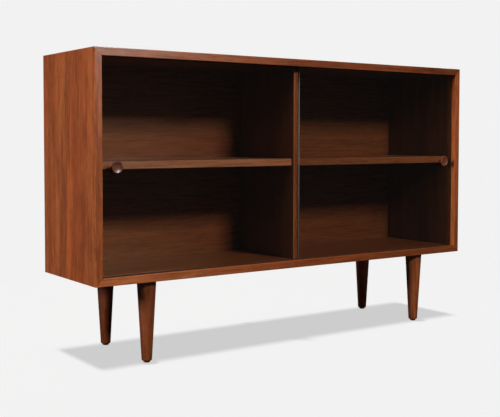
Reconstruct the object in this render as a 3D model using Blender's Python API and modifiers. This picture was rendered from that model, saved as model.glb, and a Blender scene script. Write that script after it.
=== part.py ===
"""Low glass-door bookcase on turned legs, as the pieces that it comes apart into.

Run it with blender --background --python part.py, or from Blender's text editor.
Lengths are in metres and +Z is up. The origin is on the floor under the middle of the bookcase,
+X runs to the right and -Y is the front, where the two glass doors slide in double tracks.
"""

import math

import bmesh
import bpy
from mathutils import Matrix, Vector

# Case
CASE_WIDTH = 1.219
CASE_DEPTH = 0.305
CASE_HEIGHT = 0.559
CASE_LIFT = 0.203
BOARD = 0.019
OUTER_EASE = 0.0015
INNER_EASE = 0.0008

# Clearances and cutters
SEAT_GAP = 0.0003
CUT_OVERRUN = 0.002
WELD = 0.00001

# Mitre splines
SPLINE_THICKNESS = 0.003
SPLINE_WIDTH = 0.012
SPLINE_STOP = 0.032
SPLINE_PLACE_SHARE = 0.6

# Back panel and its screws
BACK_THICKNESS = 0.006
BACK_RECESS = 0.004
RABBET_WIDTH = 0.009
BACK_SCREW_DIAMETER = 0.003
BACK_SCREW_HEAD = 0.0058
BACK_SCREW_LENGTH = 0.018
BACK_SCREW_ACROSS_SHARES = (-0.4, 0.0, 0.4)
BACK_SCREW_UP_SHARES = (-0.25, 0.25)

# Glass doors
GLASS_THICKNESS = 0.006
GLASS_SETBACK = 0.013
GLASS_OVERLAP = 0.004
GLASS_SIDE_GAP = 0.0005
GLASS_EDGE_EASE = 0.0005
GLASS_TOP_GRIP = 0.005
KNOB_HOLE_DIAMETER = 0.007

# Tracks
TRACK_PLAY = 0.0003
TRACK_WALL = 0.0014
TRACK_RIB = 0.0024
TRACK_WEB = 0.0015
LOWER_CHANNEL = 0.004
UPPER_CHANNEL = 0.010

# Knobs
KNOB_DIAMETER = 0.030
KNOB_LENGTH = 0.0112
KNOB_INSET = 0.0435
KNOB_RIM = 0.0032
KNOB_RIM_EASE = 0.0012
KNOB_LIP = 0.0022
KNOB_DISH = 0.0022
KNOB_NECK_DIAMETER = 0.011
KNOB_NECK_HEIGHT = 0.0022
KNOB_BASE_DIAMETER = 0.014
KNOB_SCREW_DIAMETER = 0.004
KNOB_SCREW_HEAD = 0.008
KNOB_SCREW_HEAD_HEIGHT = 0.0018
KNOB_SCREW_GRIP = 0.006
GROMMET_DIAMETER = 0.012
GROMMET_FLANGE = 0.0005

# Divider and its dowels
DIVIDER_THICKNESS = 0.019
DIVIDER_CLEARANCE = 0.0007
DIVIDER_EASE = 0.0008
DOWEL_DIAMETER = 0.008
DOWEL_IN_DIVIDER = 0.016
DOWEL_COVER = 0.007
DOWEL_CHAMFER = 0.001
DOWEL_PLACE_SHARES = (0.2, 0.8)

# Shelves and their pins
SHELF_THICKNESS = 0.019
SHELF_SETBACK = 0.008
SHELF_BELOW = 0.2545
SHELF_END_GAP = 0.001
SHELF_BACK_GAP = 0.002
SHELF_EASE = 0.0008
PIN_DIAMETER = 0.005
PIN_REACH = 0.009
PIN_WEB = 0.003
PIN_CHAMFER = 0.0006
PIN_FRONT_INSET = 0.040
PIN_REAR_INSET = 0.035

# Legs, bolts, inserts and glides
LEG_TOP_DIAMETER = 0.048
LEG_FOOT_DIAMETER = 0.026
LEG_END_INSET = 0.1535
LEG_FACE_INSET = 0.038
LEG_TOP_EASE = 0.001
LEG_FOOT_ROUND = 0.0045
BOLT_DIAMETER = 0.008
BOLT_IN_LEG = 0.034
BOLT_CHAMFER = 0.001
INSERT_DIAMETER = 0.0125
INSERT_COVER = 0.0045
GLIDE_DIAMETER = 0.016
GLIDE_HEIGHT = 0.0035
GLIDE_EASE = 0.0012
GLIDE_NAIL_DIAMETER = 0.0025
GLIDE_NAIL_LENGTH = 0.014

# Facets of round pieces and of rounded edges
LEG_SIDES = 30
KNOB_SIDES = 28
ROUND_SIDES = 16
SMALL_SIDES = 12
ROUND_STEPS = 3
DISH_STEPS = 4
COVE_STEPS = 4

# Places worked out from the sizes above
FRONT = -CASE_DEPTH / 2
REAR = CASE_DEPTH / 2
CASE_BOTTOM = CASE_LIFT
CASE_TOP = CASE_LIFT + CASE_HEIGHT
CASE_MIDDLE = CASE_LIFT + CASE_HEIGHT / 2
INSIDE_FLOOR = CASE_BOTTOM + BOARD
INSIDE_TOP = CASE_TOP - BOARD
INSIDE_HALF_WIDTH = CASE_WIDTH / 2 - BOARD
RABBET_DEPTH = BACK_RECESS + BACK_THICKNESS + SEAT_GAP
BACK_FRONT_FACE = REAR - BACK_RECESS - BACK_THICKNESS
BACK_REAR_FACE = REAR - BACK_RECESS

CHANNEL_WIDTH = GLASS_THICKNESS + 2 * TRACK_PLAY
TRACK_DEPTH = 2 * TRACK_WALL + TRACK_RIB + 2 * CHANNEL_WIDTH
TRACK_FRONT = FRONT + GLASS_SETBACK - TRACK_PLAY - TRACK_WALL
TRACK_REAR = TRACK_FRONT + TRACK_DEPTH
PANE_STEP = CHANNEL_WIDTH + TRACK_RIB
FRONT_PANE_FACE = FRONT + GLASS_SETBACK
REAR_PANE_FACE = FRONT_PANE_FACE + PANE_STEP
PANE_BOTTOM = INSIDE_FLOOR - LOWER_CHANNEL + SEAT_GAP
PANE_TOP = INSIDE_TOP + GLASS_TOP_GRIP
PANE_OUTER_EDGE = INSIDE_HALF_WIDTH - GLASS_SIDE_GAP
PANE_INNER_EDGE = -GLASS_OVERLAP / 2
KNOB_X = INSIDE_HALF_WIDTH - KNOB_INSET

DIVIDER_FRONT = TRACK_REAR + DIVIDER_CLEARANCE
DIVIDER_REAR = BACK_FRONT_FACE - SEAT_GAP
SHELF_FRONT = DIVIDER_FRONT + SHELF_SETBACK
SHELF_REAR = BACK_FRONT_FACE - SHELF_BACK_GAP
SHELF_BOTTOM = INSIDE_FLOOR + SHELF_BELOW
PIN_IN_BOARD = (DIVIDER_THICKNESS - PIN_WEB) / 2
DOWEL_IN_BOARD = BOARD - DOWEL_COVER
INSERT_LENGTH = BOARD - INSERT_COVER - SEAT_GAP
LEG_BOTTOM = GLIDE_HEIGHT
LEG_TOP = CASE_BOTTOM - SEAT_GAP

# Looks: base colour, roughness, metallic and transmission
WALNUT = ((0.20, 0.068, 0.026), 0.42, 0.0, 0.0)
DARK_WALNUT = ((0.11, 0.040, 0.018), 0.40, 0.0, 0.0)
BEECH = ((0.55, 0.38, 0.22), 0.60, 0.0, 0.0)
CLEAR_GLASS = ((0.90, 0.96, 0.93), 0.02, 0.0, 1.0)
BROWN_PLASTIC = ((0.035, 0.022, 0.016), 0.45, 0.0, 0.0)
BLACK_PLASTIC = ((0.015, 0.014, 0.013), 0.50, 0.0, 0.0)
RUBBER = ((0.02, 0.02, 0.02), 0.80, 0.0, 0.0)
STEEL = ((0.60, 0.58, 0.55), 0.35, 1.0, 0.0)
BRASS = ((0.78, 0.57, 0.25), 0.35, 1.0, 0.0)

# Turns for a piece made along Z
UPRIGHT = Matrix.Identity(4)
UPSIDE_DOWN = Matrix.Rotation(math.radians(180), 4, "X")
TO_REAR = Matrix.Rotation(math.radians(-90), 4, "X")
TO_FRONT = Matrix.Rotation(math.radians(90), 4, "X")

SIDE_NAMES = {-1: "left", 1: "right"}


# Scene
def clear_scene():
    for obj in list(bpy.data.objects):
        bpy.data.objects.remove(obj)


def new_collection(name):
    collection = bpy.data.collections.new(name)
    bpy.context.scene.collection.children.link(collection)
    return collection


def coat(obj, look):
    """Gives a piece its own material."""
    colour, roughness, metallic, transmission = look
    material = bpy.data.materials.new(obj.name)
    material.use_nodes = True
    shader = material.node_tree.nodes["Principled BSDF"]
    shader.inputs["Base Color"].default_value = (*colour, 1.0)
    shader.inputs["Roughness"].default_value = roughness
    shader.inputs["Metallic"].default_value = metallic
    shader.inputs["Transmission Weight"].default_value = transmission
    obj.data.materials.append(material)


def piece(name, mesh, look, parent):
    """A piece of the bookcase, at the place that its mesh or its matrix gives it."""
    obj = bpy.data.objects.new(name, mesh)
    PIECES.objects.link(obj)
    coat(obj, look)
    ride(obj, parent)
    return obj


def ride(obj, parent):
    obj.parent = parent
    obj.matrix_parent_inverse = parent.matrix_world.inverted()


def stand(name, location, parent=None):
    """An empty that carries the pieces of one body."""
    empty = bpy.data.objects.new(name, None)
    empty.location = location
    PIECES.objects.link(empty)
    bpy.context.view_layer.update()
    if parent:
        ride(empty, parent)
        bpy.context.view_layer.update()
    return empty


def cutter(name, mesh):
    obj = bpy.data.objects.new(name, mesh)
    obj.hide_render = True
    obj.display_type = "WIRE"
    CUTTERS.objects.link(obj)
    return obj


def cut(obj, *tools):
    for tool in tools:
        modifier = obj.modifiers.new(tool.name, "BOOLEAN")
        modifier.operation = "DIFFERENCE"
        modifier.solver = "EXACT"
        modifier.object = tool


# Shapes
def finish_mesh(bm, name):
    bmesh.ops.recalc_face_normals(bm, faces=bm.faces)
    mesh = bpy.data.meshes.new(name)
    bm.to_mesh(mesh)
    bm.free()
    return mesh


def box_mesh(name, low, high):
    """A box between two opposite corners."""
    low = Vector(low)
    high = Vector(high)
    bm = bmesh.new()
    bmesh.ops.create_cube(bm, size=1.0)
    bmesh.ops.scale(bm, vec=high - low, verts=bm.verts)
    bmesh.ops.translate(bm, vec=(low + high) / 2, verts=bm.verts)
    return finish_mesh(bm, name)


def ease(obj, width):
    modifier = obj.modifiers.new("eased edges", "BEVEL")
    modifier.width = width
    modifier.segments = 1
    modifier.limit_method = "ANGLE"


def rounded(corners):
    """Points of a closed outline, from corners that each give x, y and the radius there."""
    points = []
    for index, (x, y, radius) in enumerate(corners):
        corner = Vector((x, y))
        if not radius:
            points.append(corner)
            continue
        following = corners[(index + 1) % len(corners)]
        back = (Vector(corners[index - 1][:2]) - corner).normalized()
        ahead = (Vector(following[:2]) - corner).normalized()
        half = back.angle(ahead) / 2
        centre = corner + (back + ahead).normalized() * radius / math.sin(half)
        start = corner + back * radius / math.tan(half) - centre
        end = corner + ahead * radius / math.tan(half) - centre
        sweep = math.atan2(start.cross(end), start.dot(end))
        for step in range(ROUND_STEPS + 1):
            turn = Matrix.Rotation(sweep * step / ROUND_STEPS, 2)
            points.append(centre + turn @ start)
    return points


def drawn_out(name, outline, length):
    """A closed outline in X and Y, drawn out along Z by length, half to each side."""
    curve = bpy.data.curves.new(name, "CURVE")
    curve.dimensions = "2D"
    curve.fill_mode = "BOTH"
    curve.extrude = length / 2
    spline = curve.splines.new("POLY")
    spline.points.add(len(outline) - 1)
    for point, (x, y) in zip(spline.points, outline):
        point.co = (x, y, 0.0, 1.0)
    spline.use_cyclic_u = True
    guide = bpy.data.objects.new(name, curve)
    CUTTERS.objects.link(guide)
    graph = bpy.context.evaluated_depsgraph_get()
    drawn = bpy.data.meshes.new_from_object(guide.evaluated_get(graph))
    bpy.data.objects.remove(guide)
    bm = bmesh.new()
    bm.from_mesh(drawn)
    bmesh.ops.remove_doubles(bm, verts=bm.verts, dist=WELD)
    return finish_mesh(bm, name)


def add_turning(obj, profile, sides):
    """Turns a profile of radius and height, given from top to bottom, round the object's Z axis."""
    bm = bmesh.new()
    points = [bm.verts.new((radius, 0.0, height)) for radius, height in profile]
    for upper, lower in zip(points, points[1:]):
        bm.edges.new((upper, lower))
    bm.to_mesh(obj.data)
    bm.free()
    modifier = obj.modifiers.new("turning", "SCREW")
    modifier.steps = sides
    modifier.render_steps = sides
    modifier.use_merge_vertices = True
    modifier.merge_threshold = WELD
    modifier.use_smooth_shade = True


def turned(name, profile, sides, matrix, look, parent):
    """One turned piece with its own axis."""
    obj = bpy.data.objects.new(name, bpy.data.meshes.new(name))
    PIECES.objects.link(obj)
    add_turning(obj, profile, sides)
    obj.matrix_world = matrix
    bpy.context.view_layer.update()
    coat(obj, look)
    ride(obj, parent)
    return obj


def turned_set(name, profile, sides, matrices):
    """A cutter's mesh, with one turned solid at each matrix."""
    guide = bpy.data.objects.new(name, bpy.data.meshes.new(name))
    CUTTERS.objects.link(guide)
    add_turning(guide, profile, sides)
    graph = bpy.context.evaluated_depsgraph_get()
    solid = bpy.data.meshes.new_from_object(guide.evaluated_get(graph))
    bpy.data.objects.remove(guide)
    bm = bmesh.new()
    for matrix in matrices:
        first = len(bm.verts)
        bm.from_mesh(solid)
        bm.verts.ensure_lookup_table()
        bmesh.ops.transform(bm, matrix=matrix, verts=bm.verts[first:])
    return finish_mesh(bm, name)


def at(x, y, z, turn=UPRIGHT):
    return Matrix.Translation((x, y, z)) @ turn


# Profiles of the turned pieces, each from its top to its bottom
def rod_profile(diameter, top, bottom, chamfer, grow=0.0):
    """A plain rod with chamfered ends. A hole for it is the same rod, grown."""
    radius = diameter / 2 + grow
    high = top + grow
    low = bottom - grow
    return [
        (0.0, high),
        (radius - chamfer, high),
        (radius, high - chamfer),
        (radius, low + chamfer),
        (radius - chamfer, low),
        (0.0, low),
    ]


def back_screw_profile(grow=0.0, overrun=0.0):
    """A countersunk screw with its head at the top. A hole for it is grown and runs out above."""
    head = BACK_SCREW_HEAD / 2 + grow
    shank = BACK_SCREW_DIAMETER / 2 + grow
    head_height = head - shank
    tip = BACK_SCREW_LENGTH + grow
    return [
        (0.0, overrun),
        (head, overrun),
        (head, -SEAT_GAP),
        (shank, -SEAT_GAP - head_height),
        (shank, -tip + shank),
        (0.0, -tip),
    ]


def leg_profile():
    """A tapered leg with a hole for its bolt above and one for its glide's nail below."""
    top = LEG_TOP_DIAMETER / 2
    foot = LEG_FOOT_DIAMETER / 2
    bolt_hole = BOLT_DIAMETER / 2 + SEAT_GAP
    nail_hole = GLIDE_NAIL_DIAMETER / 2 + SEAT_GAP
    profile = [
        (0.0, LEG_TOP - BOLT_IN_LEG),
        (bolt_hole, LEG_TOP - BOLT_IN_LEG),
        (bolt_hole, LEG_TOP),
        (top - LEG_TOP_EASE, LEG_TOP),
        (top, LEG_TOP - LEG_TOP_EASE),
    ]
    for step in range(ROUND_STEPS + 1):
        angle = math.radians(90) * step / ROUND_STEPS
        radius = foot - LEG_FOOT_ROUND * (1 - math.cos(angle))
        profile.append((radius, LEG_BOTTOM + LEG_FOOT_ROUND * (1 - math.sin(angle))))
    nail_top = GLIDE_HEIGHT + GLIDE_NAIL_LENGTH + SEAT_GAP
    profile += [(nail_hole, LEG_BOTTOM), (nail_hole, nail_top), (0.0, nail_top)]
    return profile


def glide_profile():
    """A nail-on glide: the nail above and the pad that stands on the floor."""
    pad = GLIDE_DIAMETER / 2
    nail = GLIDE_NAIL_DIAMETER / 2
    top = GLIDE_HEIGHT - SEAT_GAP
    nail_top = top + GLIDE_NAIL_LENGTH
    return [
        (0.0, nail_top),
        (nail, nail_top - GLIDE_NAIL_DIAMETER),
        (nail, top),
        (pad - GLIDE_EASE, top),
        (pad, top - GLIDE_EASE),
        (pad - GLIDE_EASE, 0.0),
        (0.0, 0.0),
    ]


def insert_profile():
    """A threaded insert as a tube, from its top rim round the outside and back up the bore."""
    outer = INSERT_DIAMETER / 2
    bore = BOLT_DIAMETER / 2 + SEAT_GAP
    top = CASE_BOTTOM + INSERT_LENGTH
    return [(bore, top), (outer, top), (outer, CASE_BOTTOM), (bore, CASE_BOTTOM), (bore, top)]


def knob_profile():
    """A turned knob: dished face, thin rim, cove underneath, neck, base and a blind screw hole."""
    rim = KNOB_DIAMETER / 2
    dish = rim - KNOB_LIP
    neck = KNOB_NECK_DIAMETER / 2
    cove_top = KNOB_LENGTH - KNOB_RIM
    hole = KNOB_SCREW_DIAMETER / 2 + SEAT_GAP
    profile = []
    for step in range(DISH_STEPS + 1):
        reach = step / DISH_STEPS
        profile.append((dish * reach, KNOB_LENGTH - KNOB_DISH * (1 - reach * reach)))
    profile += [
        (rim - KNOB_RIM_EASE, KNOB_LENGTH),
        (rim, KNOB_LENGTH - KNOB_RIM_EASE),
        (rim, cove_top + KNOB_RIM_EASE / 2),
    ]
    for step in range(COVE_STEPS + 1):
        angle = math.radians(90) * step / COVE_STEPS
        radius = rim - KNOB_RIM_EASE - (rim - KNOB_RIM_EASE - neck) * math.sin(angle)
        height = cove_top - (cove_top - KNOB_NECK_HEIGHT) * (1 - math.cos(angle))
        profile.append((radius, height))
    profile += [
        (KNOB_BASE_DIAMETER / 2, 0.0),
        (hole, 0.0),
        (hole, KNOB_SCREW_GRIP + SEAT_GAP),
        (0.0, KNOB_SCREW_GRIP + SEAT_GAP),
    ]
    return profile


def knob_screw_profile(knob_base):
    """A screw with a low head behind the pane. Heights are measured from the pane's front face."""
    shank = KNOB_SCREW_DIAMETER / 2
    head = KNOB_SCREW_HEAD / 2
    tip = knob_base + KNOB_SCREW_GRIP
    seat = -GLASS_THICKNESS - 2 * SEAT_GAP - GROMMET_FLANGE
    foot = seat - KNOB_SCREW_HEAD_HEIGHT
    return [
        (0.0, tip),
        (shank, tip),
        (shank, seat),
        (head, seat),
        (head, foot + KNOB_SCREW_HEAD_HEIGHT / 2),
        (head - KNOB_SCREW_HEAD_HEIGHT / 2, foot),
        (0.0, foot),
    ]


def grommet_profile():
    """A sleeve in the pane's hole with a thin flange on each face of the glass."""
    bore = KNOB_SCREW_DIAMETER / 2 + SEAT_GAP
    sleeve = KNOB_HOLE_DIAMETER / 2 - SEAT_GAP
    flange = GROMMET_DIAMETER / 2
    front = SEAT_GAP
    rear = -GLASS_THICKNESS - SEAT_GAP
    return [
        (bore, front + GROMMET_FLANGE),
        (flange, front + GROMMET_FLANGE),
        (flange, front),
        (sleeve, front),
        (sleeve, rear),
        (flange, rear),
        (flange, rear - GROMMET_FLANGE),
        (bore, rear - GROMMET_FLANGE),
        (bore, front + GROMMET_FLANGE),
    ]


# Fasteners' names and places, shared by the pieces and the holes for them
def back_screw_places():
    """Screws into the rabbets of the four boards, heads to the rear."""
    line = BOARD - RABBET_WIDTH / 2
    places = {}
    for number, share in enumerate(BACK_SCREW_ACROSS_SHARES, 1):
        x = CASE_WIDTH * share
        low = CASE_BOTTOM + line
        high = CASE_TOP - line
        places[f"back_screw_bottom_{number}"] = at(x, BACK_REAR_FACE, low, TO_REAR)
        places[f"back_screw_top_{number}"] = at(x, BACK_REAR_FACE, high, TO_REAR)
    for number, share in enumerate(BACK_SCREW_UP_SHARES, 1):
        x = CASE_WIDTH / 2 - line
        z = CASE_MIDDLE + CASE_HEIGHT * share
        places[f"back_screw_left_{number}"] = at(-x, BACK_REAR_FACE, z, TO_REAR)
        places[f"back_screw_right_{number}"] = at(x, BACK_REAR_FACE, z, TO_REAR)
    return places


def dowel_places():
    """Dowels at the divider's ends. Their Z axes point into the divider."""
    places = {}
    for end, share in zip(("front", "rear"), DOWEL_PLACE_SHARES):
        y = DIVIDER_FRONT + (DIVIDER_REAR - DIVIDER_FRONT) * share
        places[f"divider_dowel_lower_{end}"] = at(0.0, y, INSIDE_FLOOR)
        places[f"divider_dowel_upper_{end}"] = at(0.0, y, INSIDE_TOP, UPSIDE_DOWN)
    return places


def pin_places(side):
    """Pins of one shelf, with their Z axes pointing under it. side is left (-1) or right (1)."""
    name = SIDE_NAMES[side]
    z = SHELF_BOTTOM - SEAT_GAP - PIN_DIAMETER / 2
    wall = side * INSIDE_HALF_WIDTH
    divider = side * DIVIDER_THICKNESS / 2
    rows = {"front": SHELF_FRONT + PIN_FRONT_INSET, "rear": SHELF_REAR - PIN_REAR_INSET}
    places = {}
    for row, y in rows.items():
        places[f"shelf_pin_{name}_side_{row}"] = at(wall, y, z, sideways(-side))
        places[f"shelf_pin_{name}_divider_{row}"] = at(divider, y, z, sideways(side))
    return places


def sideways(direction):
    """Lays a piece made along Z along X, its top pointing to +X (1) or -X (-1)."""
    return Matrix.Rotation(math.radians(90) * direction, 4, "Y")


def leg_places():
    places = {}
    for side, name in SIDE_NAMES.items():
        for end, facing in (("front", -1), ("rear", 1)):
            x = side * (CASE_WIDTH / 2 - LEG_END_INSET)
            y = facing * (CASE_DEPTH / 2 - LEG_FACE_INSET)
            places[f"{end}_{name}"] = at(x, y, 0.0)
    return places


def spline_places():
    """The four mitres' splines, each standing square across its joint."""
    inset = BOARD * SPLINE_PLACE_SHARE
    places = {}
    for side, name in SIDE_NAMES.items():
        x = side * (CASE_WIDTH / 2 - inset)
        lower = Matrix.Rotation(math.radians(-45) * side, 4, "Y")
        upper = Matrix.Rotation(math.radians(45) * side, 4, "Y")
        places[f"mitre_spline_lower_{name}"] = at(x, 0.0, CASE_BOTTOM + inset, lower)
        places[f"mitre_spline_upper_{name}"] = at(x, 0.0, CASE_TOP - inset, upper)
    return places


def spline_mesh(name, places, grow=0.0):
    """Splines at the given places, or, grown, the slots for them."""
    size = Vector((SPLINE_WIDTH, CASE_DEPTH - 2 * SPLINE_STOP, SPLINE_THICKNESS))
    size += 2 * Vector((grow, grow, grow))
    bm = bmesh.new()
    for place in places:
        made = bmesh.ops.create_cube(bm, size=1.0)["verts"]
        bmesh.ops.scale(bm, vec=size, verts=made)
        bmesh.ops.transform(bm, matrix=place, verts=made)
    return finish_mesh(bm, name)


# Case
def case_board(name, length, middle, inward, parent):
    """A mitred board: its outline has the eased edges and the rabbet, and runs along its length."""
    outline = rounded(
        [
            (FRONT, 0.0, OUTER_EASE),
            (REAR, 0.0, OUTER_EASE),
            (REAR, BOARD - RABBET_WIDTH, 0.0),
            (REAR - RABBET_DEPTH, BOARD - RABBET_WIDTH, 0.0),
            (REAR - RABBET_DEPTH, BOARD, 0.0),
            (FRONT, BOARD, INNER_EASE),
        ]
    )
    mesh = drawn_out(name, outline, length + CUT_OVERRUN)
    bm = bmesh.new()
    bm.from_mesh(mesh)
    for end in (-1, 1):
        geometry = bm.verts[:] + bm.edges[:] + bm.faces[:]
        shortened = length / 2 - SEAT_GAP / math.sqrt(2)
        sliced = bmesh.ops.bisect_plane(
            bm,
            geom=geometry,
            dist=WELD,
            plane_co=(0.0, 0.0, end * shortened),
            plane_no=(0.0, 1.0, end),
            clear_outer=True,
        )
        rim = [edge for edge in sliced["geom_cut"] if isinstance(edge, bmesh.types.BMEdge)]
        bmesh.ops.contextual_create(bm, geom=rim)
    bmesh.ops.recalc_face_normals(bm, faces=bm.faces)
    bm.to_mesh(mesh)
    bm.free()
    depthwise = Vector((0.0, 1.0, 0.0))
    axes = Matrix((depthwise, inward, depthwise.cross(inward))).transposed()
    obj = piece(name, mesh, WALNUT, parent)
    obj.matrix_world = Matrix.Translation(middle) @ axes.to_4x4()
    bpy.context.view_layer.update()
    return obj


def build_case(parent, holes):
    up = Vector((0.0, 0.0, 1.0))
    across = Vector((1.0, 0.0, 0.0))
    half = CASE_WIDTH / 2
    left = case_board("left_side", CASE_HEIGHT, (-half, 0.0, CASE_MIDDLE), across, parent)
    right = case_board("right_side", CASE_HEIGHT, (half, 0.0, CASE_MIDDLE), -across, parent)
    top = case_board("top_board", CASE_WIDTH, (0.0, 0.0, CASE_TOP), -up, parent)
    bottom = case_board("bottom_board", CASE_WIDTH, (0.0, 0.0, CASE_BOTTOM), up, parent)
    for side in (left, right):
        cut(side, holes["splines"], holes["back screws"], holes["pins"])
    for board in (top, bottom):
        cut(board, holes["splines"], holes["back screws"], holes["dowels"], holes["tracks"])
    cut(bottom, holes["inserts"])
    for name, place in spline_places().items():
        piece(name, spline_mesh(name, [place]), BEECH, parent)


def build_back(parent, holes):
    half = CASE_WIDTH / 2 - BOARD + RABBET_WIDTH - SEAT_GAP
    low = CASE_BOTTOM + BOARD - RABBET_WIDTH + SEAT_GAP
    high = CASE_TOP - BOARD + RABBET_WIDTH - SEAT_GAP
    mesh = box_mesh("back_panel", (-half, BACK_FRONT_FACE, low), (half, BACK_REAR_FACE, high))
    panel = piece("back_panel", mesh, WALNUT, parent)
    cut(panel, holes["back screws"])
    for name, place in back_screw_places().items():
        turned(name, back_screw_profile(), SMALL_SIDES, place, STEEL, parent)


# Divider and shelves
def build_divider(parent, holes):
    half = DIVIDER_THICKNESS / 2
    low = (-half, DIVIDER_FRONT, INSIDE_FLOOR + SEAT_GAP)
    high = (half, DIVIDER_REAR, INSIDE_TOP - SEAT_GAP)
    divider = piece("center_divider", box_mesh("center_divider", low, high), WALNUT, parent)
    ease(divider, DIVIDER_EASE)
    cut(divider, holes["dowels"], holes["pins"])
    profile = rod_profile(DOWEL_DIAMETER, DOWEL_IN_DIVIDER, -DOWEL_IN_BOARD, DOWEL_CHAMFER)
    for name, place in dowel_places().items():
        turned(name, profile, SMALL_SIDES, place, BEECH, parent)


def build_shelf(side, parent):
    name = SIDE_NAMES[side]
    inner = side * (DIVIDER_THICKNESS / 2 + SHELF_END_GAP)
    outer = side * (INSIDE_HALF_WIDTH - SHELF_END_GAP)
    low = (min(inner, outer), SHELF_FRONT, SHELF_BOTTOM)
    high = (max(inner, outer), SHELF_REAR, SHELF_BOTTOM + SHELF_THICKNESS)
    shelf = piece(f"{name}_shelf", box_mesh(f"{name}_shelf", low, high), WALNUT, parent)
    ease(shelf, SHELF_EASE)
    profile = rod_profile(PIN_DIAMETER, PIN_REACH, -PIN_IN_BOARD, PIN_CHAMFER)
    for pin_name, place in pin_places(side).items():
        turned(pin_name, profile, SMALL_SIDES, place, BRASS, parent)


# Tracks
def track_outline(channel):
    """Cross-section of a double-channel track, open side up, from front to back."""
    top = channel + TRACK_WEB
    corners = [(0.0, 0.0), (TRACK_DEPTH, 0.0), (TRACK_DEPTH, top)]
    y = TRACK_DEPTH - TRACK_WALL
    for rib in (TRACK_RIB, TRACK_WALL):
        corners += [(y, top), (y, TRACK_WEB), (y - CHANNEL_WIDTH, TRACK_WEB)]
        corners += [(y - CHANNEL_WIDTH, top)]
        y -= CHANNEL_WIDTH + rib
    corners.append((0.0, top))
    return corners


def build_tracks(parent):
    length = 2 * (INSIDE_HALF_WIDTH - SEAT_GAP)
    across = Matrix(((0, 0, 1), (1, 0, 0), (0, 1, 0))).to_4x4()
    flipped = Matrix.Scale(-1, 4, Vector((0, 0, 1)))
    mesh = drawn_out("lower_track", track_outline(LOWER_CHANNEL), length)
    mesh.transform(at(0.0, TRACK_FRONT, INSIDE_FLOOR - LOWER_CHANNEL - TRACK_WEB, across))
    piece("lower_track", mesh, BROWN_PLASTIC, parent)
    mesh = drawn_out("upper_track", track_outline(UPPER_CHANNEL), length)
    mesh.transform(at(0.0, TRACK_FRONT, INSIDE_TOP + UPPER_CHANNEL + TRACK_WEB, flipped @ across))
    mesh.flip_normals()
    piece("upper_track", mesh, BROWN_PLASTIC, parent)


def track_recess_mesh():
    """The two recesses that the tracks lie in, each open towards the inside of the case."""
    front = TRACK_FRONT - SEAT_GAP
    rear = TRACK_REAR + SEAT_GAP
    floor = INSIDE_FLOOR - LOWER_CHANNEL - TRACK_WEB - SEAT_GAP
    roof = INSIDE_TOP + UPPER_CHANNEL + TRACK_WEB + SEAT_GAP
    bm = bmesh.new()
    for low_z, high_z in ((floor, INSIDE_FLOOR + CUT_OVERRUN), (INSIDE_TOP - CUT_OVERRUN, roof)):
        low = Vector((-INSIDE_HALF_WIDTH, front, low_z))
        high = Vector((INSIDE_HALF_WIDTH, rear, high_z))
        made = bmesh.ops.create_cube(bm, size=1.0)["verts"]
        bmesh.ops.scale(bm, vec=high - low, verts=made)
        bmesh.ops.translate(bm, vec=(low + high) / 2, verts=made)
    return finish_mesh(bm, "track recesses")


# Doors
def build_door(side, face, parent):
    """One sliding pane with its knob, screw and grommet. face is where its front face lies."""
    name = SIDE_NAMES[side]
    inner = side * PANE_INNER_EDGE
    outer = side * PANE_OUTER_EDGE
    low = (min(inner, outer), face, PANE_BOTTOM)
    high = (max(inner, outer), face + GLASS_THICKNESS, PANE_TOP)
    pane = piece(f"glass_door_{name}", box_mesh(f"glass_door_{name}", low, high), CLEAR_GLASS, parent)
    ease(pane, GLASS_EDGE_EASE)
    knob_axis = at(side * KNOB_X, face, CASE_MIDDLE, TO_FRONT)
    hole_profile = [
        (0.0, CUT_OVERRUN),
        (KNOB_HOLE_DIAMETER / 2, CUT_OVERRUN),
        (KNOB_HOLE_DIAMETER / 2, -GLASS_THICKNESS - CUT_OVERRUN),
        (0.0, -GLASS_THICKNESS - CUT_OVERRUN),
    ]
    hole_name = f"knob hole {name}"
    cut(pane, cutter(hole_name, turned_set(hole_name, hole_profile, ROUND_SIDES, [knob_axis])))

    knob_base = GROMMET_FLANGE + 2 * SEAT_GAP
    knob_place = knob_axis @ at(0.0, 0.0, knob_base)
    turned(f"knob_{name}", knob_profile(), KNOB_SIDES, knob_place, DARK_WALNUT, parent)
    screw = knob_screw_profile(knob_base)
    turned(f"knob_screw_{name}", screw, ROUND_SIDES, knob_axis, STEEL, parent)
    turned(f"knob_grommet_{name}", grommet_profile(), ROUND_SIDES, knob_axis, RUBBER, parent)


# Legs
def build_legs(parent):
    bolt_top = CASE_BOTTOM + INSERT_LENGTH - BOLT_CHAMFER
    bolt_bottom = LEG_TOP - BOLT_IN_LEG + SEAT_GAP
    bolt = rod_profile(BOLT_DIAMETER, bolt_top, bolt_bottom, BOLT_CHAMFER)
    for name, place in leg_places().items():
        turned(f"leg_{name}", leg_profile(), LEG_SIDES, place, WALNUT, parent)
        turned(f"glide_{name}", glide_profile(), ROUND_SIDES, place, BLACK_PLASTIC, parent)
        turned(f"hanger_bolt_{name}", bolt, SMALL_SIDES, place, STEEL, parent)
        turned(f"leg_insert_{name}", insert_profile(), ROUND_SIDES, place, BRASS, parent)


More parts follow.
